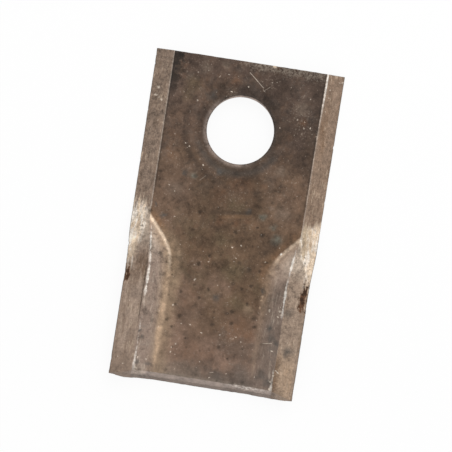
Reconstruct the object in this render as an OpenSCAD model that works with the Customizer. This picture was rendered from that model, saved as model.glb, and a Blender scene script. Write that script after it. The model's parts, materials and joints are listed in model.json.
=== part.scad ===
// Rotary mower blade: one flat steel plate with a pivot hole at one end. Both long sides are ground
// to cutting edges, and the sides of the outer half are pressed up into two wings, along a crease
// that slants in from the cutting edge and then runs along the blade to the tip.
// X runs across the blade, Y from the tip to the hole end, and Z up.
// The origin is on the axis of the pivot hole, at the underside.

/* [Plate] */
// Overall length, from the hole end to the ends of the wings
blade_length = 88.3; // [76:0.1:120]
// Width across the cutting edges at the hole end
blade_width = 51; // [46:0.1:60]
// Thickness of the plate
thickness = 4; // [3:0.1:5]
// How much narrower the blade is where the wings start to rise
neck_draw = 0.4; // [0:0.1:1.5]
// How much narrower the blade is across the wings
wing_draw = 1.3; // [0:0.1:3]
// How far the tip's end face leans back between the underside and the top face
tip_lean = 2.1; // [0.2:0.1:4]
// How far the middle of the tip is set back from the ends of the wings
tip_hollow = 0.4; // [0:0.1:2]

/* [Pivot hole] */
// Diameter of the hole
hole_diameter = 18; // [12:0.1:24]
// Distance from the hole's centre to the hole end
hole_setback = 18.6; // [15:0.1:26]
// Width of the lip that the punch drew in around the hole on the top face
hole_lip = 0.4; // [0.1:0.1:1]

/* [Cutting edges] */
// Width of the ground bevel
bevel_width = 4.9; // [3:0.1:6]
// Height of the blunt land under the bevel
edge_land = 0.5; // [0.2:0.1:1.5]

/* [Wings] */
// Width of each wing, from its cutting edge to the straight part of the crease
wing_width = 12.1; // [9:0.1:16]
// Angle that each wing is pressed up
wing_angle = 18; // [6:1:28]
// Inside radius of the bend along the crease
bend_radius = 3; // [1:0.1:5]
// Distance along the blade from the hole's centre to where the crease leaves the bevel
wing_start = 26; // [20:0.5:34]
// Angle between the slanted part of the crease and the blade's length
crease_slant = 42; // [30:1:56]
// Distance from the wing's cutting edge out to the centre of the crease's curve
crease_centre_out = 0.9; // [0.3:0.1:6]
// Length over which the press leads the flat plate into the bend
press_lead_in = 1.5; // [0.5:0.1:3]

/* [Hidden] */

steel_brown = [0.42, 0.37, 0.32];
// Steps round the bend, and round the curve of the crease
bend_steps = 4;
curve_steps = 8;
// Gap between the end of the bend and the bevel where the crease leaves the bevel
bend_to_bevel = 0.1;
// How far a cutter runs past the faces that it cuts
overcut = 1;

hole_end_y = hole_setback;
tip_y = hole_setback - blade_length;
neck_width = blade_width - neck_draw;
wing_end_width = blade_width - wing_draw;
rise = tan(wing_angle);
// Vertical drop of the underside of a raised wing, because its thickness is measured square to it
thickness_drop = thickness * (1 / cos(wing_angle) - 1);

// The wing across its straight part, from the crease out to the bevel and to the cutting edge
wing_slope_length = (wing_width - thickness * sin(wing_angle)) / cos(wing_angle);
crease_to_bevel = (wing_slope_length - bevel_width) * cos(wing_angle);
crease_x = wing_end_width / 2 - wing_width;
wing_bevel_x = crease_x + crease_to_bevel;

// Distances are counted square to the crease, outwards from its middle line
bend_half = bend_radius * tan(wing_angle / 2);
bend_end = bend_radius * sin(wing_angle) - bend_half;

function outward(slant) = [cos(slant), -sin(slant)];

// Plan of the crease, for the side with positive X
crease_radius = wing_width + crease_centre_out;
bevel_leave = [neck_width / 2 - bevel_width, -wing_start];
crease_start = bevel_leave - (bend_end + bend_to_bevel) * outward(crease_slant);
curve_centre_x = crease_x + crease_radius;
slant_length = (crease_start[0] - curve_centre_x + crease_radius * cos(crease_slant)) / sin(crease_slant);
curve_centre_y = crease_start[1] - slant_length * cos(crease_slant) - crease_radius * sin(crease_slant);
curve_centre = [curve_centre_x, curve_centre_y];

// Levels along the cutting edge: where the crease crosses it, where it starts to draw in, and where
// the wing has its full height
edge_rise_y = -wing_start + bevel_width / tan(crease_slant);
neck_y = -wing_start - bevel_width * tan(crease_slant);

function half_width(y) = lookup(y, [
    [tip_y, wing_end_width / 2],
    [curve_centre_y, wing_end_width / 2],
    [neck_y, neck_width / 2],
    [hole_end_y, blade_width / 2],
]);

// Slope in plan of the bevel's inner edge, between where the crease leaves it and the full wing
bevel_draw = (bevel_leave[0] - wing_bevel_x) / (bevel_leave[1] - curve_centre_y);

function on_curve(slant) = curve_centre - crease_radius * outward(slant);

// Distance from a point of the crease, square to it, to the bevel's inner edge
function to_bevel(crease, slant) =
    (bevel_leave[0] + bevel_draw * (crease[1] - bevel_leave[1]) - crease[0])
    / (cos(slant) + bevel_draw * sin(slant));

// Distance from a point of the crease, square to it, to the cutting edge at a given half width
function to_edge(crease, slant, half) = (half - crease[0]) / cos(slant);

function lift(plan, height) = [plan[0], plan[1], height];

// One half section across the blade, from the middle of the top round to the middle of the underside:
// the bend on the top, the bevel's inner edge, the land's two edges, and the bend on the underside
function raised_half(crease, slant, bevel_at, edge_at) = concat(
    [for (step = [0:bend_steps])
        let (turn = wing_angle * step / bend_steps)
        lift(crease + (bend_radius * sin(turn) - bend_half) * outward(slant),
            thickness + bend_radius * (1 - cos(turn)))],
    [lift(crease + bevel_at * outward(slant), thickness + rise * bevel_at)],
    [lift(crease + (edge_at - edge_land * sin(wing_angle)) * outward(slant),
        rise * edge_at - thickness_drop + edge_land * cos(wing_angle))],
    [lift(crease + edge_at * outward(slant), rise * edge_at - thickness_drop)],
    [for (step = [bend_steps:-1:0])
        let (turn = wing_angle * step / bend_steps, outer_radius = bend_radius + thickness)
        lift(crease + (outer_radius * sin(turn) - bend_half) * outward(slant),
            outer_radius * (1 - cos(turn)))]
);

// The same points on the flat plate. Those of the bend and of the bevel's inner edge keep their places
// across the blade, but for a shift, and move along it from y to move_y(y).
function flat_half(shift_x, move_y, edge_y) = concat(
    [for (index = [0:bend_steps + 1])
        let (point = leaving_half[index])
        [point[0] + shift_x, move_y(point[1]), thickness]],
    [[half_width(edge_y), edge_y, edge_land]],
    [[half_width(edge_y), edge_y, 0]],
    [for (index = [bend_steps + 4:2 * bend_steps + 4])
        let (point = leaving_half[index])
        [point[0] + shift_x, move_y(point[1]), 0]]
);

// At the tip the end face leans back, in proportion to the height above the underside, and its outline
// runs out along each wing
function tip_half(section) = [for (index = [0:len(section) - 1])
    let (point = section[index])
    let (lean = index < bend_steps + 2 ? 1 : index == bend_steps + 2 ? edge_land / thickness : 0)
    let (set_back = tip_hollow * (wing_end_width / 2 - point[0]) / wing_width)
    [point[0], tip_y + lean * tip_lean + set_back, point[2]]];

leaving_half = raised_half(crease_start, crease_slant, bend_end + bend_to_bevel,
    to_edge(crease_start, crease_slant, neck_width / 2));

curve_halves = [for (step = [0:curve_steps])
    let (slant = crease_slant * (1 - step / curve_steps))
    let (crease = on_curve(slant))
    raised_half(crease, slant, to_bevel(crease, slant), to_edge(crease, slant, wing_end_width / 2))];

halves = concat(
    [flat_half(neck_draw / 2, function (y) hole_end_y, hole_end_y)],
    [flat_half(0, function (y) y + press_lead_in, edge_rise_y)],
    [leaving_half],
    curve_halves,
    [tip_half(curve_halves[curve_steps])]
);

half_count = 2 * bend_steps + 5;
ring_count = 2 * half_count;

function mirrored(section) = [for (index = [half_count - 1:-1:0])
    [-section[index][0], section[index][1], section[index][2]]];

// Skin between one section and the next, each four-sided patch as two triangles. The diagonals on
// the bevels run from the inner edge out to the cutting edge, down the blade.
function skin(section) = [for (index = [0:ring_count - 1])
    let (next = (index + 1) % ring_count)
    let (a = section * ring_count + index, b = section * ring_count + next)
    let (c = b + ring_count, d = a + ring_count)
    for (face = index < half_count ? [[a, b, c], [a, c, d]] : [[a, b, d], [b, c, d]]) face];

// The end of the blade as flat patches: one between the bends, the bends' own, and one for each wing
function end_half() = concat(
    [for (step = [0:bend_steps - 1])
        [step, step + 1, half_count - 2 - step, half_count - 1 - step]],
    [[for (index = [bend_steps:bend_steps + 4]) index]]
);

function end_cap() = concat(
    [[ring_count - 1, 0, half_count - 1, half_count]],
    end_half(),
    [for (face = end_half())
        [for (index = [len(face) - 1:-1:0]) ring_count - 1 - face[index]]]
);

function reversed(list) = [for (index = [len(list) - 1:-1:0]) list[index]];

module formed_plate() {
    tip_offset = (len(halves) - 1) * ring_count;
    polyhedron(
        points = [for (section = halves) each concat(section, mirrored(section))],
        faces = concat(
            [for (section = [0:len(halves) - 2]) each skin(section)],
            [for (face = end_cap()) reversed(face)],
            [for (face = end_cap()) [for (index = face) index + tip_offset]]
        )
    );
}

module pivot_hole() {
    translate([0, 0, -overcut])
        cylinder(h = thickness + 2 * overcut, d = hole_diameter, $fn = 96);
    translate([0, 0, thickness - hole_lip])
        cylinder(h = 2 * hole_lip, d1 = hole_diameter, d2 = hole_diameter + 4 * hole_lip, $fn = 96);
}

module blade() {
    color(steel_brown)
        difference() {
            formed_plate();
            pivot_hole();
        }
}

blade();
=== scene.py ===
"""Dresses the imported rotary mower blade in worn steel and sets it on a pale, softly lit floor."""

import json
import math
from random import Random

import bmesh
import bpy
from bpy.props import FloatProperty, FloatVectorProperty, PointerProperty
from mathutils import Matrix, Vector, kdtree, noise


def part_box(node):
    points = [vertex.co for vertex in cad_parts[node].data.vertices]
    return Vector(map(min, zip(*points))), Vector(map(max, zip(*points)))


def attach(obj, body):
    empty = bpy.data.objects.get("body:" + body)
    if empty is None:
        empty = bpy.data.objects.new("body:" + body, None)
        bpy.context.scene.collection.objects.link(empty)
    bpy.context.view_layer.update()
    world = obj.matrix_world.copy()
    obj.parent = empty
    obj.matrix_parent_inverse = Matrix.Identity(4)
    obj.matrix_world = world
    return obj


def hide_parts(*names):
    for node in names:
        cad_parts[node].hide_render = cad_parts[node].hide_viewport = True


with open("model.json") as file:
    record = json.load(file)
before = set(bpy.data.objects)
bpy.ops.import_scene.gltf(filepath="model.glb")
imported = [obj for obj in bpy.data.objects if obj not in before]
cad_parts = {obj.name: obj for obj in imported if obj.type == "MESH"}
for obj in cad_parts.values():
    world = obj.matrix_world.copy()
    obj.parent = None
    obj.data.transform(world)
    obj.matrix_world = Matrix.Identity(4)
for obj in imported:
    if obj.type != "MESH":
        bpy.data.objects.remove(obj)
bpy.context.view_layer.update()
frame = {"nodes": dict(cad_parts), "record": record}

bl_info = {
    "name": "Worn Mower Blade",
    "version": (1, 0, 0),
    "blender": (4, 5, 0),
    "location": "View3D > Sidebar > Mower Blade",
    "description": "Wears and finishes a rotary mower blade, and sets it on a pale floor",
    "category": "Object",
}

MM = 0.001
LOWEST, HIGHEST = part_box("blade")
HOLE_RADIUS = frame["record"]["mounts"][0]["dims"]["r_mm"]
HOLE_END = HIGHEST.y / MM
TIP = LOWEST.y / MM
HALF_WIDTH = HIGHEST.x / MM


def length(name, description, millimetres):
    """A size that the user can change."""
    return FloatProperty(
        name=name, description=description, default=millimetres * MM, unit="LENGTH", precision=5
    )


def colour(name, description, red, green, blue):
    """A colour that the user can change."""
    return FloatVectorProperty(
        name=name, description=description, default=(red, green, blue), subtype="COLOR", min=0, max=1
    )


class BladePlan(bpy.types.PropertyGroup):
    """Lines on the blade that its wear follows"""

    thickness: length("Thickness", "Thickness of the plate", 4)
    bevel_width: length("Bevel width", "Width in plan of the ground bevel beside the flat plate", 4.9)
    wing_bevel_width: length("Wing bevel width", "Width in plan of the ground bevel along the wings", 5.9)
    neck_draw: length("Neck draw", "How far each cutting edge draws in down to the neck", 0.2)
    wing_draw: length("Wing draw", "How far each cutting edge draws in from the neck to the wings", 0.45)
    wing_start: length("Wing start", "From the hole's centre to where the crease leaves the bevel", 26)
    neck: length("Neck", "From the hole's centre to the neck", 30.4)
    wing_full: length("Wing at full height", "From the hole's centre to the wing's full height", 38.7)
    crease_out: length("Crease", "From the middle of the blade to the straight part of the crease", 12.75)
    crease_start: length("Crease start", "From the middle of the blade to the crease's upper end", 20)
    crease_slant: FloatProperty(
        name="Crease slant",
        description="Angle between the slanted part of the crease and the blade's length",
        default=math.radians(42),
        subtype="ANGLE",
    )
    crease_blend: length("Crease blend", "Reach of the curve between its two straight parts", 5.2)
    tip_lean: length("Tip lean", "How far the tip's end face leans back", 2.1)


class BladeWear(bpy.types.PropertyGroup):
    """How far use has worn the blade"""

    mesh_step: length("Mesh step", "Spacing of the mesh that carries the wear", 0.36)
    wave: length("Wave", "Height of the plate's unevenness", 0.04)
    pit_depth: length("Pit depth", "Depth of the deepest pits", 0.12)
    nick_depth: length("Nick depth", "Depth of the nicks along the cutting edges", 0.22)
    chip_depth: length("Chip depth", "Depth of the rusted chips beside the creases", 0.45)
    corner_wear: length("Corner wear", "How far the tip's corners have worn back", 0.3)
    tip_spread: length("Tip spread", "How far blows have spread the middle of the tip", 0.45)
    tip_burr: length("Tip burr", "How far the left bevel's end stands proud", 0.32)
    end_wear: length("End wear", "Roughness of the sheared ends", 0.14)


class BladeColours(bpy.types.PropertyGroup):
    """Colours of the steel"""

    plate_dark: colour("Plate at the hole end", "Brown patina at the hole end", 0.099, 0.066, 0.050)
    plate_brown: colour("Plate", "Brown patina on the middle of the plate", 0.144, 0.090, 0.056)
    plate_pale: colour("Plate at the tip", "Brown patina worn thin towards the tip", 0.240, 0.155, 0.112)
    rust: colour("Rust", "Reddish stains on the patina", 0.165, 0.088, 0.050)
    olive: colour("Olive", "Olive-brown stains on the patina", 0.136, 0.099, 0.058)
    gold: colour("Gold", "Golden-brown patina beside the creases", 0.330, 0.235, 0.155)
    haze: colour("Haze", "Pale grey-brown haze on the patina", 0.205, 0.155, 0.118)
    teal: colour("Teal", "Grey-green stains on the patina", 0.165, 0.183, 0.152)
    slate: colour("Slate", "Blue-grey stains on the patina", 0.112, 0.096, 0.083)
    slate_dark: colour("Dark slate", "Dark blue-grey stains", 0.070, 0.067, 0.062)
    pit: colour("Pit", "Dark soil in the pits", 0.048, 0.034, 0.024)
    soot: colour("Soot", "Nearly black patina beside the bevels", 0.028, 0.022, 0.018)
    scuff: colour("Scuff", "Pale scuffs and flecks on the patina", 0.270, 0.225, 0.180)
    # The two wings differ by painted light: the left is painted lighter, as lit, the right darker, as
    # shaded.
    wing_left: colour("Left wing", "Rubbed steel on the left wing", 0.313, 0.232, 0.185)
    wing_right: colour("Right wing", "Rubbed steel on the right wing", 0.225, 0.166, 0.132)
    wing_upper: colour("Right wing's top", "Pinkish rubbed steel at its top", 0.420, 0.312, 0.245)
    crease_tan: colour("Crease tan", "Tan band along the creases", 0.490, 0.345, 0.232)
    crease_rust: colour("Crease rust", "Rusty shade inside the curve of the creases", 0.235, 0.134, 0.072)
    crease_bright: colour("Crease bright", "Bright line on the curve of the creases", 0.640, 0.500, 0.372)
    bevel_grey: colour("Left bevel", "Ground steel of the left bevel", 0.294, 0.216, 0.165)
    bevel_tan: colour("Right bevel", "Ground steel of the right bevel", 0.325, 0.230, 0.168)
    bevel_wing: colour("Right wing bevel", "Ground steel along the right wing", 0.360, 0.268, 0.203)
    bevel_wing_left: colour("Left wing bevel", "Ground steel along the left wing", 0.400, 0.300, 0.234)
    bevel_pale: colour("Pale bevel", "Pale grey steel inside the rubbed stretches", 0.520, 0.430, 0.345)
    cream: colour("Cream", "Freshly rubbed steel where the wings start", 0.760, 0.610, 0.460)
    khaki: colour("Khaki", "Shaded part of the right rubbed stretch", 0.480, 0.375, 0.255)
    # The bare steel colour also paints highlights: the glint on the right crease, the sparkle on the tip's
    # end face and part of the worn lines.
    bare_steel_and_highlight: colour("Bare", "Bare bright steel on worn lines and specks", 0.900, 0.830, 0.750)
    speck: colour("Speck", "Pale specks and scratches", 0.800, 0.690, 0.570)
    chip: colour("Chip", "Dark soil in the chips", 0.035, 0.024, 0.017)
    chip_rust: colour("Chip rust", "Red-brown rust in the chips", 0.125, 0.058, 0.030)
    # The sheared steel colour also paints the highlight on the left of the hole's rim.
    shear: colour("Sheared end", "Sheared steel on the tip's end face", 0.400, 0.320, 0.275)
    torn: colour("Torn end", "Darker torn steel under the sheared steel", 0.250, 0.197, 0.166)
    wall: colour("Walls", "Dull brown steel of the other walls", 0.115, 0.085, 0.066)
    under: colour("Underside", "Soil-stained patina of the underside", 0.105, 0.078, 0.058)


class StageSettings(bpy.types.PropertyGroup):
    """The floor, the light and the camera"""

    floor_size: length("Floor size", "Side of the square floor", 4000)
    floor_colour: colour("Floor", "Colour of the floor", 0.95, 0.95, 0.95)
    floor_white: FloatProperty(name="Floor white", description="Share of white in the floor", default=0.92)
    sky: FloatProperty(name="Sky", description="Strength of the even light from all round", default=0.72)
    key_power: FloatProperty(name="Key lamp", description="Power of the large soft lamp", default=1.5)
    key_size: length("Key lamp size", "Side of the large soft lamp", 450)
    key_place: FloatVectorProperty(
        name="Key lamp place",
        description="Place of the large soft lamp from the middle of the blade",
        default=(0.14, 0.38, 0.46),
        subtype="XYZ_LENGTH",
    )
    camera_height: length("Camera height", "Height of the camera over the top face", 1500)
    camera_turn: FloatProperty(
        name="Camera turn",
        description="Turn of the camera about the upright axis",
        default=math.radians(8.9),
        subtype="ANGLE",
    )
    view_centre: FloatVectorProperty(
        name="View centre",
        description="Point of the blade in the middle of the picture",
        default=(0.14 * MM, -25.8 * MM),
        size=2,
        subtype="XYZ_LENGTH",
        precision=5,
    )
    view_width: length("View width", "Width of the blade's top plane that the picture shows", 120.95)


class Socket:
    """An output of a shader node. Arithmetic on it adds Math nodes."""

    def __init__(self, graph, output):
        self.graph = graph
        self.output = output

    def __repr__(self):
        """A name by which the graph knows equal links."""
        return "%s %s" % (self.output.node.name, self.output.identifier)

    def __add__(self, other):
        return self.graph.math("ADD", self, other)

    def __sub__(self, other):
        return self.graph.math("SUBTRACT", self, other)

    def __rsub__(self, other):
        return self.graph.math("SUBTRACT", other, self)

    def __mul__(self, other):
        return self.graph.math("MULTIPLY", self, other)

    def __truediv__(self, other):
        return self.graph.math("DIVIDE", self, other)

    def __abs__(self):
        return self.graph.math("ABSOLUTE", self)

    __radd__ = __add__
    __rmul__ = __mul__


class Graph:
    """The nodes of one material or world."""

    def __init__(self, tree):
        self.tree = tree
        self.made = {}
        tree.nodes.clear()

    def add(self, kind, settings=None, sockets=None):
        """A node, with its settings first and then its sockets. Equal nodes are made once."""
        key = repr((kind, settings, sockets))
        if key in self.made:
            return self.made[key]
        node = self.tree.nodes.new(kind)
        self.made[key] = node
        for name, value in (settings or {}).items():
            setattr(node, name, value)
        for name, value in (sockets or {}).items():
            if isinstance(value, Socket):
                self.tree.links.new(value.output, node.inputs[name])
            else:
                node.inputs[name].default_value = value
        return node

    def take(self, node, key=0):
        """One output of a node."""
        return Socket(self, node.outputs[key])

    def math(self, operation, *values):
        """A Math node."""
        return self.take(self.add("ShaderNodeMath", {"operation": operation}, dict(enumerate(values))))

    def smooth_min(self, first, second, reach):
        """The lower of two values, blended where they are close."""
        return self.math("SMOOTH_MIN", first, second, reach)

    def larger(self, first, second):
        """The larger of two values."""
        return self.math("MAXIMUM", first, second)

    def vector(self, operation, *values, output=0):
        """A Vector Math node."""
        node = self.add("ShaderNodeVectorMath", {"operation": operation}, dict(enumerate(values)))
        return self.take(node, output)

    def scaled(self, vector, factor):
        """A vector, or a colour, times a number."""
        node = self.add("ShaderNodeVectorMath", {"operation": "SCALE"}, {0: vector, "Scale": factor})
        return self.take(node)

    def step(self, value, start, end):
        """Goes smoothly from 0 at the start to 1 at the end."""
        settings = {"interpolation_type": "SMOOTHSTEP", "clamp": False}
        return self.take(self.add("ShaderNodeMapRange", settings, {0: value, 1: start, 2: end}))

    def slope(self, value, start, end, first, last):
        """Goes straight from a first to a last number, and stays level beyond them."""
        return self.take(
            self.add("ShaderNodeMapRange", None, {0: value, 1: start, 2: end, 3: first, 4: last})
        )

    def band(self, value, middle, reach):
        """1 at the middle, falling to 0 at the reach on both sides."""
        return self.step(abs(value - middle), reach, 0)

    def noise(self, place, size, detail=3, roughness=0.55, offset=0):
        """Noise whose spots are about as wide as the size, with a mean of one half."""
        node = self.add(
            "ShaderNodeTexNoise",
            {"noise_dimensions": "4D"},
            {"Vector": place, "W": offset, "Scale": 1 / size, "Detail": detail, "Roughness": roughness},
        )
        return self.take(node)

    def blend(self, mask, under, over):
        """The colour under a mask, and the colour over it."""
        node = self.add("ShaderNodeMix", {"data_type": "RGBA"}, {0: mask, 6: under, 7: over})
        return self.take(node, 2)

    def wander(self, place, size, reach, offset):
        """A level vector that wanders either way, with spots about as wide as the size."""
        across = (self.noise(place, size, offset=offset) - 0.5) * reach
        along = (self.noise(place, size, offset=offset + 0.5) - 0.5) * reach
        return self.take(self.add("ShaderNodeCombineXYZ", None, {0: across, 1: along}))

    def spots(self, place, spots, core):
        """Round spots at given places, full over a core that is a share of the radius."""
        found = 0
        for across, along, radius in spots:
            distance = self.vector("DISTANCE", place, (across, along, 0), output="Value")
            found = self.larger(found, self.step(distance, radius, radius * core))
        return found

    def dots(self, place, size, share, smallest, largest):
        """Round dots scattered over a share of cells that are about as wide as the size."""
        cells = self.add(
            "ShaderNodeTexVoronoi", {"voronoi_dimensions": "2D"}, {"Vector": place, "Scale": 1 / size}
        )
        chance = self.add("ShaderNodeSeparateColor", None, {0: self.take(cells, "Color")})
        radius = smallest + self.take(chance, "Green") * (largest - smallest)
        kept = self.math("LESS_THAN", self.take(chance, "Red"), share)
        return self.step(self.take(cells, "Distance") * size / radius, 1, 0.3) * kept

    def scratch(self, place, start, end, half_width):
        """A thin straight line between two places."""
        run = Vector((end[0] - start[0], end[1] - start[1], 0))
        reach = run.length
        run.normalize()
        offset = self.vector("SUBTRACT", place, (start[0], start[1], 0))
        along = self.vector("DOT_PRODUCT", offset, tuple(run), output="Value")
        aside = self.vector("DOT_PRODUCT", offset, (-run.y, run.x, 0), output="Value")
        line = self.step(abs(aside), half_width, half_width * 0.3)
        return line * self.step(along, 0, 0.3) * self.step(along, reach, reach - 0.3)


def opaque(hue):
    """A colour property as a shader colour."""
    return (hue[0], hue[1], hue[2], 1)


class Coat:
    """A colour that is built up in layers."""

    def __init__(self, graph, hues, name):
        self.graph = graph
        self.hues = hues
        self.top = opaque(getattr(hues, name))

    def other(self, name):
        """Starts another coat with a colour."""
        return Coat(self.graph, self.hues, name)

    def lay(self, mask, over):
        """Lays a colour, by its name, or another coat over this one where the mask is 1."""
        over = over.top if isinstance(over, Coat) else opaque(getattr(self.hues, over))
        self.top = self.graph.blend(mask, self.top, over)


def mm(size):
    """A size property in millimetres."""
    return size / MM


# Places on the blade, for the finish: across it, along it and a radius, in millimetres

# Bright specks on the top
SPECKS = (
    (-10.9, 14.6, 0.25), (-23.5, 8.2, 0.6), (-23.9, 6.1, 0.6), (-23, 5.6, 0.35), (-22.1, 5, 0.45),
    (-12.6, 6.2, 0.3), (0.2, 12, 0.3), (-4, 9.8, 0.25), (-5.1, 8.6, 0.2), (6.5, 14, 0.25),
    (7.8, 14.4, 0.2), (25, 16.9, 0.35), (24.2, 16.7, 0.25), (22.1, 14.4, 0.3), (22.2, 12.3, 0.25),
    (21.7, 8.4, 0.25), (17.4, 11.2, 0.2), (14.7, 5.3, 0.25), (16.6, 5, 0.2), (10.4, 2.5, 0.15),
    (16.6, 3.1, 0.25),
    (18.4, 3.4, 0.25), (14.4, 1, 0.2), (-8.4, -10.6, 0.35), (-14, -5.5, 0.25), (-12.9, -6.3, 0.25),
    (-16.7, -17.3, 0.25), (-14.9, -18.7, 0.25), (5, -30.4, 0.35), (2.6, -31.3, 0.3), (12, -33.6, 0.3),
    (4.3, -34, 0.25), (-6.8, -37.3, 0.25), (-5.8, -41.2, 0.35), (-3, -35.9, 0.25), (15.1, -46.4, 0.35),
    (17.9, -46.2, 0.5), (18.4, -47, 0.45), (17.6, -47.7, 0.4), (-10.6, -48.8, 0.3), (-7.6, -53.4, 0.25),
    (-5.4, -53.4, 0.25), (-1.9, -55.1, 0.3), (3, -54.9, 0.3), (7.4, -54.9, 0.25), (8.8, -55.8, 0.3),
    (17.5, -57, 0.4), (-8.2, -59, 0.25), (-9.3, -60.1, 0.3), (-9.4, -61.2, 0.35), (-1.3, -62.7, 0.25),
    (-17.8, -64, 0.25), (-15.4, -64.3, 0.25), (-21.5, -66.4, 0.25), (1.9, -66.6, 0.25),
    (13.8, -64.5, 0.25), (19.6, -62.2, 0.35), (18.7, -63.4, 0.4), (18.3, -65.2, 0.35), (18.4, -67.2, 0.45),
    (18.4, -68, 0.4), (-18, -66.8, 0.5), (-18.1, -67.6, 0.5), (-17.7, -68.3, 0.4),
)
# Dark pits in the top
PITS = (
    (-20.2, 16.4, 0.9), (-18.8, 14.5, 1), (-18, 13.3, 1), (-19.6, 12.1, 0.9), (-18.3, 11.5, 0.8),
    (-6.5, 11.1, 1), (-10.4, 4.4, 0.8), (-20, -7.6, 0.5), (-19.3, -13.9, 0.6), (-10.7, -21.6, 0.6),
    (-7.4, -23.2, 0.9), (-20.4, -24.8, 0.9), (-22.1, -29.1, 0.6), (8.5, -25.1, 0.6), (10.1, -26.8, 1),
    (2.9, -27.1, 0.9), (12.4, -33.9, 0.5), (-2.9, -34.4, 0.7), (-5.6, -36.9, 1.1), (8, -36.4, 0.9),
    (10.8, -36.5, 0.8), (9.2, -40.7, 0.8), (6.8, -41.8, 0.7), (-12.1, -40.8, 0.6), (-1.9, -43.3, 0.7),
    (-9.1, -44.9, 0.8), (-4, -45.9, 0.7), (9, -45.6, 0.8), (5.3, -48.2, 1), (-10, -48.5, 0.6),
    (11.4, -49.1, 1.2), (-8.5, -51.6, 1.3), (5.6, -51.4, 1), (11.8, -51.4, 0.9), (0.6, -52.4, 0.9),
    (-11.6, -52.9, 0.9), (-10.1, -54.7, 0.8), (-6, -57.2, 0.6), (9.6, -57.6, 0.6), (3.2, -58.2, 0.8),
    (6, -60.9, 0.7), (22.6, -32.4, 0.35), (22.3, -30.9, 0.3), (22.6, -34.3, 0.3),
)
# Blue-grey stains
STAINS = (
    (-8.9, 8.1, 2), (-12.7, -13.2, 1.6), (-3.6, -12, 1.7), (-19.2, -22.9, 1.1),
    (5.5, -21.2, 1.4), (-16.9, -25.6, 1), (23.2, -38.7, 0.9), (12.9, -41.1, 1.3), (0.5, -45.1, 1.5),
    (20.1, -46.1, 2.2),
    (15.9, -51.3, 1.5), (17.1, -53.4, 1.9), (18.3, -54.8, 1.5), (-18.1, -56.8, 0.8), (-17.7, -58.8, 0.9),
    (21.7, -56.4, 2), (15.3, -63.6, 2.2), (-14.8, -65.6, 1.2), (-17.5, -65.4, 1.1), (17.3, -65.7, 1.8),
)
# Broad tints of the patina, by the name of their colour
TINTS = {
    "rust": (
        (-1.3, -24.4, 1.8), (2.7, -24.2, 2), (6, -23.2, 1.5), (7.5, 17.5, 1.4), (16.3, 4.6, 2),
        (2.1, -14, 5), (-5.1, -60.1, 4.5), (14.7, -31.8, 1.6), (18.8, -25.5, 2.4), (-3, -17.5, 4.5),
        (7.5, -52, 5), (11, -53.5, 3), (-3, 13, 2.5),
    ),
    "olive": (
        (-14.2, 10.5, 3.5), (-15.3, 7.7, 3), (1, -19.8, 2.6), (3.4, -20.2, 2), (-0.5, -29.2, 3.5),
        (3.5, -37.5, 4.5), (6, -46, 4),
    ),
    "gold": ((-11.2, -47.4, 3.2), (-11, -43, 2.4), (-11.4, -36, 1.8), (9.5, -47, 2.5)),
    "teal": (
        (14.3, -27.4, 2.2), (9.4, -22.1, 1.6), (12.6, -24.4, 1.4), (-10.3, -13.9, 1.8),
        (18.2, -38.4, 1.4),
    ),
    "slate": ((10, -64, 5), (4, -66, 3)),
    "haze": (
        (-11.5, 15.5, 2.6), (-6.5, 16.5, 2), (15.3, 8.4, 3.2), (11.6, -19.2, 1.3), (14.5, -20.5, 3.5),
        (12.7, -9, 2.6), (-15, -18, 3.5),
    ),
}
# Shaded spots of the patina
SHADED = ((13.4, -30.4, 5.5), (8.3, -36.6, 2.6))
# A notch in the hole end, tan spots and a painted glint of light on the right crease, and the tip's pale
# corner
NOTCH = ((6.5, 18.4, 0.7),)
TAN_SPOTS = ((12.7, -43.1, 0.6), (12.6, -43.9, 0.5), (12.5, -46, 0.5))
GLINT = ((15.8, -31.1, 0.5),)
PALE_CORNER = ((-17, -67.6, 2.8),)
# Where the patina is flecked most
FLECKED = ((16.5, 4.5, 8), (-15, 15, 7), (5.8, 13, 4), (-4, 9.5, 4), (-8, -38, 4), (4, -56, 7))
# Scratches on the top, as two ends, a half width and a strength
SCRATCHES = (
    ((0, 15.9), (4.5, 12.1), 0.13, 1),
    ((4.5, 11.4), (6.2, 12.8), 0.13, 0.7),
    ((4.2, 11.9), (5.1, 11.1), 0.12, 0.8),
    ((14.5, -55.4), (17.2, -54.9), 0.12, 0.9),
    ((1.7, -65.2), (3, -65), 0.12, 0.7),
    ((-8.8, -14.9), (-7.2, -13.2), 0.2, 0.3),
    ((19, -61.8), (20.2, -62.7), 0.2, 1.4),
)
# Dark scores on the top, in the same way
SCORES = (
    ((-4.7, -22.7), (6.6, -21.4), 0.75, 0.7),
    ((-0.5, -22.2), (6.2, -21.6), 0.45, 1),
    ((9.2, -26.9), (11, -26.6), 0.5, 1),
    ((-18.9, -30.6), (-17.5, -31.1), 0.3, 0.7),
    ((-17.1, -41.6), (-15.6, -44.4), 0.42, 0.7),
)
# A rusty stripe under the longest score, as two ends and a half width
RUST_STRIPE = ((-2.4, -23.7), (6.8, -22.2), 0.7)
# Along the blade: the middle of the hollow of each chip, and the middle of its rust
CHIP_HOLLOW = -42.3
CHIP_RUST = -42


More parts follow.
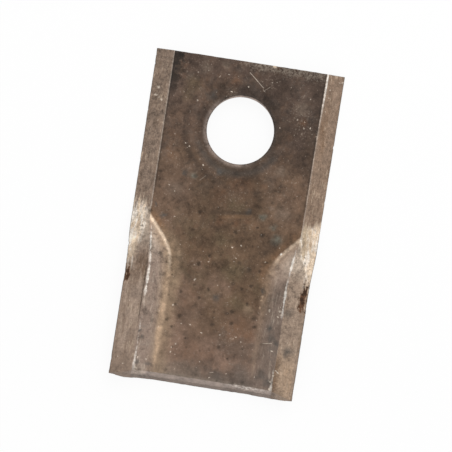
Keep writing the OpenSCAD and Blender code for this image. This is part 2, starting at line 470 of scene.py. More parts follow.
class Zones:
    """Distances in millimetres and masks that the layers of the finish share."""

    def __init__(self, graph, plan):
        coordinates = graph.add("ShaderNodeTexCoord")
        self.place = graph.scaled(graph.take(coordinates, "Object"), 1 / MM)
        self.flat = graph.vector("MULTIPLY", self.place, (1, 1, 0))
        parts = graph.add("ShaderNodeSeparateXYZ", None, {0: self.place})
        self.x = graph.take(parts, "X")
        self.y = graph.take(parts, "Y")
        facing = graph.add("ShaderNodeSeparateXYZ", None, {0: graph.take(coordinates, "Normal")})
        self.facing_y = graph.take(facing, "Y")
        self.facing_z = graph.take(facing, "Z")
        self.across = abs(self.x)
        self.left = graph.step(self.x, 0.5, -0.5)
        self.right = 1 - self.left
        self.hole = graph.vector("LENGTH", self.flat, output="Value")

        self.cloud = graph.noise(self.place, 11, 3)
        self.patch = graph.noise(self.place, 4.2, 4, 0.6, offset=2)
        self.mottle = graph.noise(self.place, 1.7, 4, 0.62, offset=3)
        self.grain = graph.noise(self.place, 0.8, 3, 0.6, offset=4)
        self.dust = graph.noise(self.place, 0.36, 2, 0.6, offset=6)
        drawn_out = graph.vector("MULTIPLY", self.place, (1, 0.16, 1))
        self.streak = graph.noise(drawn_out, 0.9, 4, 0.6, offset=8)
        self.fine_streak = graph.noise(drawn_out, 0.4, 3, 0.6, offset=10)
        self.jitter = (self.grain - 0.5) * 1.2
        self.ragged = graph.vector("ADD", self.flat, graph.wander(self.place, 0.7, 1.3, 20))
        self.wandering = graph.vector("ADD", self.flat, graph.wander(self.place, 2.6, 3.6, 22))

        wing_start = -mm(plan.wing_start)
        wing_full = -mm(plan.wing_full)
        neck = -mm(plan.neck)
        edge = HALF_WIDTH - graph.slope(self.y, HOLE_END, neck, 0, mm(plan.neck_draw))
        edge = edge - graph.slope(self.y, neck, wing_full, 0, mm(plan.wing_draw))
        self.from_edge = edge - self.across
        inner = HALF_WIDTH - mm(plan.bevel_width)
        wing_inner = HALF_WIDTH - mm(plan.neck_draw) - mm(plan.wing_draw) - mm(plan.wing_bevel_width)
        neck_inner = inner - mm(plan.neck_draw)
        bevel_line = graph.slope(self.y, HOLE_END, wing_start, inner, neck_inner)
        bevel_line = bevel_line - graph.slope(self.y, wing_start, wing_full, 0, neck_inner - wing_inner)
        self.past_bevel = self.across - bevel_line

        cosine = math.cos(plan.crease_slant)
        sine = math.sin(plan.crease_slant)
        slanted = (self.across - mm(plan.crease_start)) * cosine - (self.y - wing_start) * sine
        straight = self.across - mm(plan.crease_out)
        self.past_crease = graph.smooth_min(straight, slanted, mm(plan.crease_blend))

        self.on_bevel = graph.step(self.past_bevel + self.jitter * 0.12, -0.12, 0.12)
        soft = graph.step(self.y, -33, -40) * (0.4 + self.right * 0.6)
        self.on_wing = graph.step(self.past_crease + self.jitter * 0.6, -0.3 - soft * 1.5, 0.6 + soft * 3)
        self.low = graph.step(self.y + self.jitter, -29, -34)
        self.to_tip = graph.slope(self.y, HOLE_END, TIP, 0, 1)
        self.up_tip = (self.y - TIP) / mm(plan.tip_lean)
        self.graph = graph

    def sides(self, left, right):
        """A number for the left half of the blade and one for the right."""
        return self.graph.slope(self.left, 0, 1, right, left)

    def loose_pits(self):
        """Dark pits scattered over the faces."""
        return self.graph.dots(self.ragged, 3.4, 0.55, 0.25, 0.9)

    def loose_flecks(self):
        """Bright flecks scattered over the faces."""
        return self.graph.dots(self.ragged, 2.9, 0.4, 0.08, 0.22)

    def drawn(self):
        """Streaks drawn out along the blade."""
        return self.graph.step(self.fine_streak * 0.6 + self.streak * 0.4, 0.5, 0.66)


# Layers of the finish, from the patina outwards

def patina(graph, zones, paint):
    """The mottled brown patina of the flat plate."""
    tone = zones.to_tip + (zones.cloud - 0.5) * 0.8
    paint.lay(graph.step(tone, 0.05, 0.5), "plate_brown")
    paint.lay(graph.step(tone, 0.64, 0.95), "plate_pale")
    middle = graph.band(zones.y, -34, 26)
    shares = {"rust": 0.45, "slate": 0.4 - middle * 0.25, "olive": middle * 0.6}
    for offset, (name, share) in enumerate(shares.items(), 12):
        drift = graph.step(graph.noise(zones.place, 6, 4, 0.65, offset=offset), 0.46, 0.66)
        paint.lay(drift * share, name)
    for name, places in TINTS.items():
        tint = graph.spots(zones.wandering, places, 0) * (zones.mottle + 0.1)
        paint.lay(tint, name)
    waist = graph.band(zones.y, -20, 18)
    flank = graph.step(zones.across, 7, 13) * waist
    flank = graph.larger(flank, graph.step(zones.x, -10, -15) * graph.band(zones.y, 2, 12) * 0.7)
    paint.lay(flank * zones.sides(0.34, 0.22), "plate_pale")
    lower_left = graph.step(zones.x, 3, -9) * graph.step(zones.y, -42, -54)
    paint.lay(lower_left * 0.55, "plate_pale")
    shadow = graph.step(zones.across, 10, 5) * graph.band(zones.y, -17, 17) * 0.26
    shadow = shadow + graph.step(zones.x, -6, 12) * graph.step(zones.y, -12, -2) * 0.2
    shadow = shadow + graph.spots(zones.wandering, SHADED, 0) * 0.38
    paint.lay(shadow, "soot")
    fleck_zone = graph.spots(zones.wandering, FLECKED, 0) * 0.07 + (zones.patch - 0.5) * 0.35
    flecks = graph.step(zones.dust + (zones.grain - 0.5) * 0.6 + fleck_zone, 0.62, 0.76)
    paint.lay(flecks * 0.4, "scuff")


def hole_marks(graph, zones, paint):
    """The darker washer mark round the hole, and the rim of the hole, lighter on the left, where a
    highlight is painted on it.
    """
    washer = graph.step(zones.hole + (zones.patch - 0.5) * 6, 14, 10)
    paint.lay(washer * graph.slope(zones.y, -6, 8, 0.26, 0.5), "soot")
    lower_left = graph.step(zones.x + zones.y, -4, -16) * graph.step(zones.x, -3, -8)
    arc = graph.band(zones.hole + zones.jitter * 1.5, 14.8, 1.7) * graph.step(zones.mottle, 0.3, 0.6)
    paint.lay(arc * lower_left * 0.6, "soot")
    # Painted highlight: the left of the hole's rim is painted in the sheared steel colour, for the light
    # that falls on its lip; the rest of the rim is painted darker.
    left_rim = graph.step(zones.x * 1.4 + zones.y, 2, -9)
    lit = graph.step(zones.hole - HOLE_RADIUS + zones.jitter * 0.3, 1.5, 0.2) * left_rim
    paint.lay(lit * (zones.grain + 0.1) * 0.8, "shear")
    under_hole = graph.band(zones.hole + zones.jitter, HOLE_RADIUS + 2.6, 2) * graph.step(zones.y, -2, -8)
    paint.lay(under_hole * 0.45, "slate_dark")
    dark_rim = graph.step(zones.hole - HOLE_RADIUS, 1.2, 0.3) - lit
    paint.lay(dark_rim * 0.28, "slate_dark")


def end_scuffs(graph, zones, paint):
    """Pale scuffs at the hole end, dark patina beside the upper bevels, and rubbed patina at the tip."""
    from_end = HOLE_END - zones.y
    scuffed = graph.step(from_end + (zones.patch - 0.5) * 5, 3.6, 0.4) * graph.step(zones.x, -6, 4)
    speckle = graph.step(zones.dust * 0.5 + zones.grain * 0.5 + scuffed * 0.08, 0.5, 0.62)
    paint.lay(speckle * scuffed * 0.65, "scuff")
    notch = graph.spots(zones.ragged, NOTCH, 0.3)
    paint.lay(notch * 0.8, "cream")
    inside = 0 - zones.past_bevel
    sooty = graph.step(inside + (zones.mottle - 0.5) * 11, 3.8, 0.8)
    sooty = sooty * graph.step(zones.y, 4, 13) * zones.left
    paint.lay(sooty * (zones.grain + 0.4), "soot")
    lined = graph.band(inside + zones.jitter * 0.4, 0.2, 0.5) * graph.step(zones.y, -24, -14)
    paint.lay(lined * (zones.mottle - 0.1), "soot")
    dull = graph.step(inside + (zones.mottle - 0.5) * 5, 3.4, 0.4) * graph.step(zones.y, -22, -6)
    paint.lay(dull * 0.2, "soot")
    from_tip = zones.y - TIP + (zones.mottle - 0.5) * 5
    greyed = graph.step(from_tip, 7, 3) * graph.slope(zones.x, -14, 12, 0.05, 0.85)
    paint.lay(greyed * 0.75, "slate")
    rubbed = graph.step(from_tip, 9, 3) * graph.step(zones.x, 6, -9)
    paint.lay(rubbed * 0.42, "scuff")
    rolled_edge = graph.step(zones.y - TIP + zones.jitter * 0.3, 3.2, 2.3)
    paint.lay(rolled_edge * 0.45, "scuff")


def wings(graph, zones, paint):
    """The rubbed wings, the left painted lighter than the right for the light that falls on it, and
    lighter at the top of the right.
    """
    rubbed = paint.other("wing_right")
    # Painted light: the left wing is painted lighter than the right, as lit, and the right darker, as
    # shaded.
    rubbed.lay(zones.left, "wing_left")
    upper = zones.right * graph.step(zones.y + (zones.patch - 0.5) * 12, -41, -36)
    rubbed.lay(upper * 0.9, "wing_upper")
    bluish = graph.step(zones.mottle * 0.5 + zones.patch * 0.5, 0.5, 0.64)
    rubbed.lay(bluish * 0.55, "slate")
    tan = graph.band(zones.past_crease, 0.6, 3.2) * graph.step(zones.y, -52, -40)
    rubbed.lay(tan * zones.mottle * 0.7, "crease_tan")
    rubbed.lay(zones.drawn() * 0.45, "bevel_pale")
    beside_bevel = graph.band(zones.past_bevel, -0.6, 3.2) * graph.band(zones.y, -33.5, 5)
    rubbed.lay(beside_bevel * 0.5, "bevel_pale")
    paint.lay(zones.on_wing, rubbed)


def creases(graph, zones, paint):
    """Rust inside the curve of each crease, a gold shoulder on the left, a tan band, a bright line, and a
    painted glint on the right crease.
    """
    crease = zones.past_crease
    curved = graph.step(zones.y, -46, -36)
    reach = zones.sides(1.7, 2.6)
    rusty = graph.step(abs(crease + 0.3 + zones.jitter * 0.5) / reach, 1, 0.1) * curved
    rusty = rusty * zones.sides(0.8, 0.5)
    paint.lay(rusty * (zones.mottle + 0.2), "crease_rust")
    wander = (zones.patch - 0.5) * 1.2 + zones.jitter * 0.3
    shoulder = graph.band(crease + wander, -0.4, 4) * graph.step(zones.y, -27, -32) * zones.left
    paint.lay(shoulder * (zones.mottle * 0.5 + 0.45), "gold")
    half = graph.slope(zones.y, -37, -50, 0.9, 1.5) - graph.slope(zones.y, -55, -65, 0, 0.9)
    tan = graph.step(abs(crease + wander * 0.6 - 0.5) / half, 1, 0)
    tan = tan * zones.sides(1, 0.2) * graph.step(zones.y, -31, -37)
    tan = tan * graph.step(zones.y, TIP + 2, TIP + 9) * (zones.mottle * 0.45 + 0.55)
    paint.lay(tan, "crease_tan")
    tan_spot = graph.spots(zones.ragged, TAN_SPOTS, 0)
    paint.lay(tan_spot * 0.8, "crease_tan")
    end = zones.sides(-38, -31.6)
    line = zones.sides(0.4, 0.62)
    bright = graph.band(crease + zones.jitter * 0.25 - line, 0, 0.75) * graph.step(zones.y - end, -3.4, 1)
    paint.lay(bright * (zones.mottle + zones.patch - 0.15), "crease_bright")
    # Painted highlight: a glint of light on the right crease, in the bare steel colour.
    glint = graph.spots(zones.ragged, GLINT, 0.3)
    paint.lay(glint, "bare_steel_and_highlight")


def bevels(graph, zones, paint):
    """The ground bevels, streaked along the cutting edges."""
    ground = paint.other("bevel_tan")
    ground.lay(zones.left, "bevel_grey")
    lower = paint.other("bevel_wing")
    lower.lay(zones.left, "bevel_wing_left")
    ground.lay(zones.low, lower)
    brown = graph.step(zones.streak + (zones.patch - 0.5) * 0.8, 0.46, 0.68)
    ground.lay(brown * 0.38, "plate_brown")
    reddish = zones.right * graph.band(zones.y, 3, 13)
    reddish = reddish * graph.band(zones.past_bevel + zones.jitter, 1.6, 1.6)
    ground.lay(reddish * zones.streak * 0.9, "crease_rust")
    pale = graph.step(zones.fine_streak + (zones.patch - 0.5) * 0.6, 0.56, 0.74)
    ground.lay(pale * 0.4, "cream")
    near_tip = graph.step(zones.y + (zones.patch - 0.5) * 6, -55, -61)
    tanned = zones.right * near_tip * graph.step(zones.from_edge + zones.jitter, 0.5, 1.5)
    ground.lay(tanned * (zones.streak * 0.9), "crease_tan")
    rusted = zones.right * near_tip * graph.step(zones.past_bevel + zones.jitter, 1.8, 0.5)
    ground.lay(rusted * (zones.mottle + 0.2), "plate_brown")
    browned = zones.left * graph.step(zones.y + (zones.patch - 0.5) * 5, -60, -65)
    soil = zones.left * graph.band(zones.y, -39.5, 6.5)
    soil = soil * graph.step(zones.streak + zones.patch, 0.8, 1.05)
    ground.lay(graph.larger(browned * 0.28, soil * 0.75), "plate_brown")
    groove = graph.band(zones.past_bevel + zones.jitter * 0.3, 0.15, 0.45) * zones.left
    groove = groove * graph.step(zones.y, -34, -40) * graph.step(zones.y, -58, -50)
    ground.lay(groove * (zones.mottle + zones.patch - 0.35), "pit")
    paint.lay(zones.on_bevel, ground)


def cream_zones(graph, zones, paint):
    """Freshly rubbed steel on the bevels where the wings start, streaked along the edge."""
    tongues = (zones.streak - 0.5) * zones.sides(16, 8)
    top = zones.sides(-22.8, -22.2) - zones.right * (24.5 - zones.across) * 0.3
    below = graph.step(zones.y - top + tongues + zones.jitter * 2, 1.6, -1.4)
    left_line = graph.slope(zones.y, -27, -38, 22.1, 22.6)
    right_line = graph.slope(zones.y, -28, -38, 20.4, 24.1)
    line = left_line * zones.left + right_line * zones.right
    uneven = (zones.streak - 0.5) * 4 + (zones.patch - 0.5) * 2.5 + zones.jitter
    outside = graph.step(zones.across - line + uneven, -0.8, 0.8)
    fading = graph.step(zones.y + tongues * 0.4, -42.5, -34)
    rubbed = below * outside * fading * zones.on_bevel
    lower_end = graph.step(zones.y + (zones.patch - 0.5) * 8 + zones.right * 2, -37, -31)
    greyed = (0.4 + zones.streak * 0.8) * below * lower_end * zones.on_bevel
    greyed = greyed * zones.sides(0.7, 0.95)
    paint.lay(greyed, "bevel_pale")
    grey = graph.step(zones.fine_streak * 0.6 + zones.mottle * 0.4, 0.5, 0.66)
    fresh = paint.other("cream")
    fresh.lay(grey * 0.5, "bevel_wing")
    tan = graph.step(zones.patch * 0.4 + zones.streak * 0.6, 0.5, 0.36)
    fresh.lay(tan * 0.7, "crease_tan")
    shaded = zones.right * graph.step(zones.from_edge + zones.jitter, 1.6, 4) * 0.7
    fresh.lay(shaded, "khaki")
    white = graph.step(zones.streak * 0.7 + zones.fine_streak * 0.3 + zones.left * 0.03, 0.49, 0.6)
    fresh.lay(white * 0.75, "bare_steel_and_highlight")
    paint.lay(rubbed, fresh)


def worn_lines(graph, zones, paint):
    """Bare steel along the inner edges of the bevels: worn steel, painted brighter as a highlight along
    these ridges.
    """
    along = graph.noise(graph.vector("MULTIPLY", zones.place, (0.05, 1, 0)), 3.4, 3, 0.6, offset=16)
    lower = graph.step(zones.y, -50, -46) * 0.55
    lower = lower + graph.band(zones.y, -33, 5) * 0.45 + graph.band(zones.y, -43, 5) * 0.45
    near_tip = zones.sides(-52, -60) - zones.y
    lower = lower + graph.step(near_tip, 0, 4) * 0.6
    lower = lower * graph.step(zones.y, -27.3, -29.5)
    # Worn steel and a painted highlight along the ridge at the lower bevels' inner edges.
    width = graph.larger((along - 0.32) * 1.8, 0.2)
    line = graph.step(abs(zones.past_bevel + 0.3 + zones.left * 0.2 + zones.jitter * 0.5) / width, 1, 0.2)
    flaky = graph.step(along * 0.6 + zones.grain * 0.6 + lower * 0.18, 0.56, 0.84)
    paint.lay(line * flaky * lower, "bare_steel_and_highlight")
    # Worn steel and a painted highlight along the upper bevels' inner edges, most at the right near the
    # hole end.
    corner = graph.step(zones.y, 2, 16) * zones.right
    aside = abs(zones.past_bevel - 0.12 - corner * 0.2 + zones.jitter * 0.15)
    rim = graph.step(aside / (0.24 + corner * 0.1), 1, 0.3)
    upper = graph.step(zones.y, -26, -22) * (zones.grain + 0.1) * (0.25 + corner * 1.2)
    paint.lay(rim * upper, "bare_steel_and_highlight")


def rust_chips(graph, zones, paint):
    """Dark rust in the chips of the cutting edges."""
    middle = zones.sides(23.95, 23.6)
    reach = zones.sides(0.55, 0.9)
    wobble = (zones.grain - 0.5) * 2.4 + (zones.fine_streak - 0.5) * 3 + (zones.streak - 0.5) * 2.6
    aside = (zones.across - middle) / reach
    along = (zones.y - CHIP_RUST) / zones.sides(2, 3.4)
    distance = graph.math("POWER", aside * aside + along * along, 0.5) + wobble
    paint.lay(graph.step(distance, 1.6, 0.7) * 0.6, "plate_brown")
    paint.lay(graph.step(distance, 1.05, 0.75) * 0.9, "chip_rust")
    core = graph.step(distance + (zones.grain - 0.5) * 3 - (zones.y - CHIP_RUST) * 0.08, 0.6, 0.2)
    paint.lay(core * 0.65, "chip")


def marks(graph, zones, paint):
    """Stains, scores, pits, specks and scratches of the top, at their places and scattered."""
    stain = graph.spots(zones.wandering, STAINS, 0)
    paint.lay(stain * (zones.mottle + 0.15), "slate_dark")
    scored = 0
    for start, end, half_width, strength in SCORES:
        scored = graph.larger(scored, graph.scratch(zones.flat, start, end, half_width) * strength)
    paint.lay(scored * (zones.mottle + 0.1) * 0.8, "pit")
    stripe = graph.scratch(zones.flat, *RUST_STRIPE)
    paint.lay(stripe * zones.mottle * 0.5, "crease_rust")
    calm = 1 - graph.larger(zones.on_bevel, zones.on_wing) * 0.8
    scattered = zones.loose_pits() * calm * (zones.mottle - 0.05)
    pit = graph.larger(graph.spots(zones.ragged, PITS, 0.1) * (zones.mottle + 0.35), scattered)
    paint.lay(pit * 0.85, "pit")
    flecks = zones.loose_flecks() * (zones.mottle - 0.15)
    speck = graph.larger(graph.spots(zones.ragged, SPECKS, 0.2) * (zones.grain + 0.15), flecks)
    for start, end, half_width, strength in SCRATCHES:
        line = graph.scratch(zones.flat, start, end, half_width) * (zones.grain * strength)
        speck = graph.larger(speck, line)
    paint.lay(speck, "speck")


def end_faces(graph, zones, paint):
    """The walls: the tip's sheared end face, with a painted sparkle of highlights, the hole end, the hole
    and the cutting edges' lands.
    """
    tip_face = graph.step(zones.facing_y, -0.4, -0.65)
    bevel_end = tip_face * zones.on_bevel * 0.75
    upright = graph.step(abs(zones.facing_z), 0.72, 0.5) - bevel_end
    paint.lay(upright, "wall")
    lower = graph.step(zones.up_tip + zones.jitter * 0.25, 0.62, 0.4)
    face = paint.other("shear")
    face.lay(lower, "torn")
    # Painted highlight: sparkling glints of light on the right of the tip's end face, in the bare steel
    # colour.
    sparkle = graph.band(zones.x, 12, 8) * graph.step(zones.up_tip + zones.jitter * 0.5, 0.55, 0.85)
    face.lay(sparkle * graph.step(zones.grain, 0.4, 0.6) * 0.6, "bare_steel_and_highlight")
    paint.lay(tip_face - bevel_end, face)
    pale_corner = graph.spots(zones.ragged, PALE_CORNER, 0.2)
    paint.lay(pale_corner * 0.4, "bevel_pale")


def underside(graph, zones, paint):
    """The soil-stained underside, with its own washer mark, rubbed along its outer lines."""
    stained = paint.other("under")
    stained.lay(graph.step(zones.cloud, 0.45, 0.62), "plate_brown")
    stained.lay(graph.step(zones.patch, 0.55, 0.7) * 0.5, "rust")
    washer = graph.step(zones.hole + zones.jitter, 14, 12.6)
    stained.lay(washer * (zones.mottle + 0.2), "slate")
    washer_line = graph.band(zones.hole + zones.jitter, 13.4, 0.9)
    stained.lay(washer_line * zones.mottle, "soot")
    stained.lay(zones.drawn() * zones.patch * 0.6, "bevel_grey")
    rubbed = graph.step(zones.from_edge + (zones.patch - 0.5) * 5 + zones.jitter, 3.5, 0.3)
    stained.lay(rubbed * (zones.streak + 0.15), "bevel_grey")
    pit = zones.loose_pits() * (zones.mottle + 0.2)
    stained.lay(pit, "pit")
    flecks = zones.loose_flecks() * zones.mottle
    stained.lay(flecks, "speck")
    paint.lay(graph.step(zones.facing_z, -0.5, -0.8), stained)


LAYERS = (
    patina, hole_marks, end_scuffs, wings, creases, bevels, cream_zones, worn_lines, rust_chips, marks,
    end_faces, underside,
)


def worn_steel(plan, hues):
    """The finish of the blade."""
    material = bpy.data.materials.new("worn_steel")
    material.use_nodes = True
    graph = Graph(material.node_tree)
    zones = Zones(graph, plan)
    paint = Coat(graph, hues, "plate_dark")
    for layer in LAYERS:
        layer(graph, zones, paint)
    uneven = graph.slope(zones.y, -38, -52, 1, 0.8)
    uneven = uneven + zones.on_wing * (1 - zones.on_bevel) * (zones.left * 0.55 - 0.1)
    uneven = uneven + zones.on_bevel * (zones.left * (1 - zones.low) * 0.5 + zones.low * 0.2 - 0.25)
    broad = (zones.patch - 0.5) * 1.6 + (zones.mottle - 0.5) * 1.5
    broad = broad * (1 - zones.on_bevel * 0.25)
    fine = (zones.grain - 0.5) * 0.7 + (zones.dust - 0.5) * 0.6
    fine = fine * (1 + zones.on_bevel * (0.6 + zones.right * 0.5))
    shade = graph.larger(1 + (broad + fine) * uneven, 0.3)
    ground = graph.larger(zones.on_bevel, zones.on_wing * 0.5)
    metallic = 0.35 + ground * 0.3
    roughness = 0.6 - ground * 0.1 + (zones.mottle - 0.5) * 0.5
    height = (zones.grain - 0.5) * 0.8 + (zones.dust - 0.5) * 0.5
    height = height + zones.on_bevel * (zones.fine_streak - 0.5)
    bump = graph.add("ShaderNodeBump", None, {"Height": height, "Distance": 0.08 * MM, "Strength": 1})
    shader = graph.add(
        "ShaderNodeBsdfPrincipled",
        None,
        {
            "Base Color": graph.scaled(paint.top, shade),
            "Metallic": metallic,
            "Roughness": roughness,
            "Specular IOR Level": 0.2,
            "Normal": graph.take(bump),
        },
    )
    graph.add("ShaderNodeOutputMaterial", None, {"Surface": graph.take(shader)})
    return material


# The worn shape: tolerances of the mesh, the softened edges, the pits, then reaches in millimetres

MERGED = 0.001 * MM
CUT = 0.002 * MM
FLAT = math.radians(0.2)
SHARP = math.radians(25)
# A wall's normal rises less than this
UPRIGHT = 0.6
SMOOTHING = 0.4
ROLLED_TURNS = 4
ROLLED_ABOVE = 2 * MM
ROLLED_NEAREST = 1.2 * MM
ROLLED_FARTHEST = 5 * MM
PIT_SEED = 5
LOOSE_PITS = 220
PIT_RADIUS = (0.5, 1.1)
PIT_SHARE = (0.2, 0.8)
EDGE_REACH = 2
CHIP_REACH = 3.2
TIP_REACH = 6
END_REACH = 1.2
CORNER_START = 20.5
CORNER_WIDTH = 4.3
BURR_PLACE = -20.3
BURR_REACH = 3.6


def blade_copy():
    """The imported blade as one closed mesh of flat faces."""
    mesh = bmesh.new()
    mesh.from_mesh(frame["nodes"]["blade"].data)
    bmesh.ops.remove_doubles(mesh, verts=mesh.verts, dist=MERGED)
    bmesh.ops.dissolve_limit(mesh, angle_limit=FLAT, verts=mesh.verts, edges=mesh.edges)
    return mesh


def walls(mesh):
    """The faces that stand upright, or nearly so, with their edges and corners."""
    faces = {face for face in mesh.faces if abs(face.normal.z) < UPRIGHT}
    edges = {edge for face in faces for edge in face.edges}
    verts = {vert for face in faces for vert in face.verts}
    return list(verts) + list(edges) + list(faces)


def all_faces(mesh):
    """The whole mesh."""
    return mesh.verts[:] + mesh.edges[:] + mesh.faces[:]


def cut_rows(mesh, axis, step, chosen):
    """Cuts what is chosen of the mesh with evenly spaced planes square to an axis."""
    count = math.ceil((HIGHEST[axis] - LOWEST[axis]) / step)
    normal = Vector((0, 0, 0))
    normal[axis] = 1
    for index in range(1, count):
        point = LOWEST.lerp(HIGHEST, index / count)
        bmesh.ops.bisect_plane(mesh, geom=chosen(mesh), dist=CUT, plane_co=point, plane_no=normal)


def round_edges(mesh):
    """Softens the sharp edges, as long use does, and most of all the upper edge of the tip."""
    sharp = {
        vert
        for edge in mesh.edges
        if edge.calc_face_angle(0) > SHARP
        for vert in edge.verts
    }
    rolled = {
        vert
        for vert in sharp
        if vert.co.z > ROLLED_ABOVE and ROLLED_NEAREST < vert.co.y - LOWEST.y < ROLLED_FARTHEST
    }
    rolled |= {edge.other_vert(vert) for vert in rolled for edge in vert.link_edges}
    for verts, turns in ((sharp, 1), (rolled, ROLLED_TURNS)):
        for turn in range(turns):
            bmesh.ops.smooth_vert(
                mesh,
                verts=list(verts),
                factor=SMOOTHING,
                use_axis_x=True,
                use_axis_y=True,
                use_axis_z=True,
            )


def falloff(distance, reach):
    """1 at no distance, falling smoothly to 0 at the reach."""
    return max(0, 1 - (distance / reach) ** 2) ** 2


def pit_surface(mesh, wear):
    """Presses small rust pits into the faces."""
    draw = Random(PIT_SEED)
    tree = kdtree.KDTree(len(mesh.verts))
    for index, vert in enumerate(mesh.verts):
        tree.insert(vert.co, index)
    tree.balance()
    mesh.verts.ensure_lookup_table()
    upper = HIGHEST.z * 0.7
    pits = [(x * MM, y * MM, upper, radius * MM, 1) for x, y, radius in PITS]
    for extra in range(LOOSE_PITS):
        across = draw.uniform(LOWEST.x, HIGHEST.x)
        along = draw.uniform(LOWEST.y, HIGHEST.y)
        up = draw.choice((LOWEST.z, upper))
        pits.append((across, along, up, draw.uniform(*PIT_RADIUS) * MM, draw.uniform(*PIT_SHARE)))
    for across, along, up, reach, share in pits:
        place, nearest, gap = tree.find(Vector((across, along, up)))
        for found, index, distance in tree.find_range(place, reach):
            vert = mesh.verts[index]
            vert.co -= vert.normal * wear.pit_depth * share * falloff(distance, reach)


def wear_edges(mesh, wear):
    """Nicks and chips the cutting edges, and tears, wears and spreads the two ends."""
    for vert in mesh.verts:
        x, y, z = vert.co / MM
        side = math.copysign(1, x)
        at_edge = max(0, (abs(x) - HALF_WIDTH + EDGE_REACH) / EDGE_REACH)
        nick = max(0, noise.noise(Vector((side * 9, y * 0.8, 0))) - 0.1) ** 1.5 * wear.nick_depth * 2
        ragged = 0.6 + 0.4 * noise.noise(Vector((side * 5, y * 1.6, z)))
        chip = falloff(y - CHIP_HOLLOW, CHIP_REACH) * ragged * wear.chip_depth
        vert.co.x -= side * at_edge ** 2 * (nick + chip)
        at_tip = falloff(max(0, y - TIP), TIP_REACH)
        corner = max(0, (abs(x) - CORNER_START) / CORNER_WIDTH) ** 2 * wear.corner_wear
        torn = (0.5 + 0.5 * noise.noise(Vector((x * 0.9, 7, z * 0.7)))) * wear.end_wear
        spread = (1 - 0.6 * (x / HALF_WIDTH) ** 2) * wear.tip_spread
        burr = falloff(x - BURR_PLACE, BURR_REACH) * wear.tip_burr
        vert.co.y += at_tip * (corner + torn - spread - burr)
        at_end = falloff(max(0, HOLE_END - y), END_REACH)
        rough = (0.5 + 0.5 * noise.noise(Vector((x * 0.7, 3, z * 0.7)))) * wear.end_wear
        vert.co.y -= at_end * rough * 0.6


def wave_surface(mesh, wear):
    """Makes the faces slightly uneven."""
    for vert in mesh.verts:
        place = vert.co / MM
        broad = noise.noise(place / 8)
        close = noise.noise(place / 1.9)
        vert.co += vert.normal * wear.wave * (broad * 0.7 + close * 0.3 - 0.5)


def worn_blade(plan, wear, hues):
    """The blade with its worn shape and finish."""
    step = wear.mesh_step * 1
    mesh = blade_copy()
    cut_rows(mesh, 2, step, walls)
    cut_rows(mesh, 1, step, all_faces)
    cut_rows(mesh, 0, step, all_faces)
    many_sided = [face for face in mesh.faces if len(face.verts) > 4]
    bmesh.ops.triangulate(mesh, faces=many_sided)
    round_edges(mesh)
    mesh.normal_update()
    wave_surface(mesh, wear)
    pit_surface(mesh, wear)
    wear_edges(mesh, wear)
    for face in mesh.faces:
        face.smooth = True
    data = bpy.data.meshes.new("worn_blade")
    mesh.to_mesh(data)
    mesh.free()
    data.materials.append(worn_steel(plan, hues))
    blade = bpy.data.objects.new("worn_blade", data)
    bpy.context.scene.collection.objects.link(blade)
    return blade


# The stage

FLOOR_GAP = 0.02 * MM
CAMERA_NEAREST = 10 * MM


def floor_finish(stage):
    """Pale floor that the camera and reflections see as white, with the blade's shadow on it."""
    material = bpy.data.materials.new("pale_floor")
    material.use_nodes = True
    graph = Graph(material.node_tree)
    ray = graph.add("ShaderNodeLightPath")
    seen = graph.larger(graph.take(ray, "Is Camera Ray"), graph.take(ray, "Is Glossy Ray"))
    seen = graph.larger(seen, graph.take(ray, "Is Transmission Ray"))
    matt = graph.add("ShaderNodeBsdfDiffuse", None, {"Color": opaque(stage.floor_colour)})
    white = graph.add("ShaderNodeEmission", None, {"Strength": 1})
    share = seen * stage.floor_white
    mixed = graph.add("ShaderNodeMixShader", None, {0: share, 1: graph.take(matt), 2: graph.take(white)})
    graph.add("ShaderNodeOutputMaterial", None, {"Surface": graph.take(mixed)})
    return material


def lay_floor(stage):
    """The floor, just under the blade."""
    mesh = bmesh.new()
    bmesh.ops.create_grid(mesh, x_segments=1, y_segments=1, size=stage.floor_size / 2)
    bmesh.ops.translate(mesh, verts=mesh.verts, vec=(0, 0, LOWEST.z - FLOOR_GAP))
    data = bpy.data.meshes.new("floor")
    mesh.to_mesh(data)
    mesh.free()
    data.materials.append(floor_finish(stage))
    floor = bpy.data.objects.new("floor", data)
    bpy.context.scene.collection.objects.link(floor)


def light_sky(stage):
    """Even light from all round, white to the camera."""
    world = bpy.data.worlds.new("sky")
    world.use_nodes = True
    graph = Graph(world.node_tree)
    ray = graph.add("ShaderNodeLightPath")
    strength = graph.slope(graph.take(ray, "Is Camera Ray"), 0, 1, stage.sky, 1)
    sky = graph.add("ShaderNodeBackground", None, {"Color": (1, 1, 1, 1), "Strength": strength})
    graph.add("ShaderNodeOutputWorld", None, {"Surface": graph.take(sky)})
    bpy.context.scene.world = world


def hang_lamp(name, place, target, size, power):
    """A square soft lamp that faces a point."""
    lamp = bpy.data.lights.new(name, "AREA")
    lamp.size = size
    lamp.energy = power
    holder = bpy.data.objects.new(name, lamp)
    holder.location = place
    holder.rotation_euler = (target - place).to_track_quat("-Z", "Y").to_euler()
    bpy.context.scene.collection.objects.link(holder)


def set_camera(stage, plan):
    """The camera straight above the blade."""
    data = bpy.data.cameras.new("camera")
    data.lens = data.sensor_width * stage.camera_height / stage.view_width
    data.clip_start = CAMERA_NEAREST
    camera = bpy.data.objects.new("camera", data)
    camera.location = (stage.view_centre[0], stage.view_centre[1], plan.thickness + stage.camera_height)
    camera.rotation_euler = (0, 0, stage.camera_turn)
    bpy.context.scene.collection.objects.link(camera)
    bpy.context.scene.camera = camera


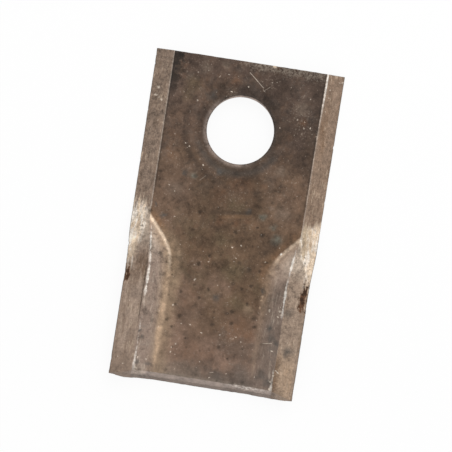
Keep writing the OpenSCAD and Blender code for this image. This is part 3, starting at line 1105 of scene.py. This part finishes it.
class MOWERBLADE_OT_worn_blade(bpy.types.Operator):
    """Wears and finishes the blade"""

    bl_idname = "mower_blade.worn_blade"
    bl_label = "Worn Blade"

    def execute(self, context):
        scene = context.scene
        blade = worn_blade(scene.blade_plan, scene.blade_wear, scene.blade_colours)
        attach(blade, "root")
        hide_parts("blade")
        return {"FINISHED"}


class MOWERBLADE_OT_stage(bpy.types.Operator):
    """Lays the floor, hangs the lamp and sets the camera"""

    bl_idname = "mower_blade.stage"
    bl_label = "Stage"

    def execute(self, context):
        stage = context.scene.blade_stage
        plan = context.scene.blade_plan
        middle = (LOWEST + HIGHEST) / 2
        lay_floor(stage)
        light_sky(stage)
        hang_lamp("key", middle + Vector(stage.key_place), middle, stage.key_size, stage.key_power)
        set_camera(stage, plan)
        context.scene.view_settings.view_transform = "Standard"
        return {"FINISHED"}


class MOWERBLADE_PT_tools(bpy.types.Panel):
    """Lists the blade's tools and settings"""

    bl_label = "Mower Blade"
    bl_space_type = "VIEW_3D"
    bl_region_type = "UI"
    bl_category = "Mower Blade"

    def draw(self, context):
        layout = self.layout
        layout.operator(MOWERBLADE_OT_worn_blade.bl_idname)
        layout.operator(MOWERBLADE_OT_stage.bl_idname)
        for name in SETTINGS:
            group = getattr(context.scene, name)
            column = layout.column(heading=name)
            for key in group.bl_rna.properties.keys():
                if key not in ("rna_type", "name"):
                    column.prop(group, key)


SETTINGS = {
    "blade_plan": BladePlan,
    "blade_wear": BladeWear,
    "blade_colours": BladeColours,
    "blade_stage": StageSettings,
}
CLASSES = (*SETTINGS.values(), MOWERBLADE_OT_worn_blade, MOWERBLADE_OT_stage, MOWERBLADE_PT_tools)


def register():
    """Adds the classes and the settings to Blender."""
    for each in CLASSES:
        bpy.utils.register_class(each)
    for name, group in SETTINGS.items():
        setattr(bpy.types.Scene, name, PointerProperty(type=group))


def unregister():
    """Takes the settings and the classes out of Blender."""
    for name in SETTINGS:
        delattr(bpy.types.Scene, name)
    for each in reversed(CLASSES):
        bpy.utils.unregister_class(each)


def main():
    """Builds the scene."""
    register()
    bpy.ops.mower_blade.stage()
    bpy.ops.mower_blade.worn_blade()


if __name__ == "__main__":
    main()
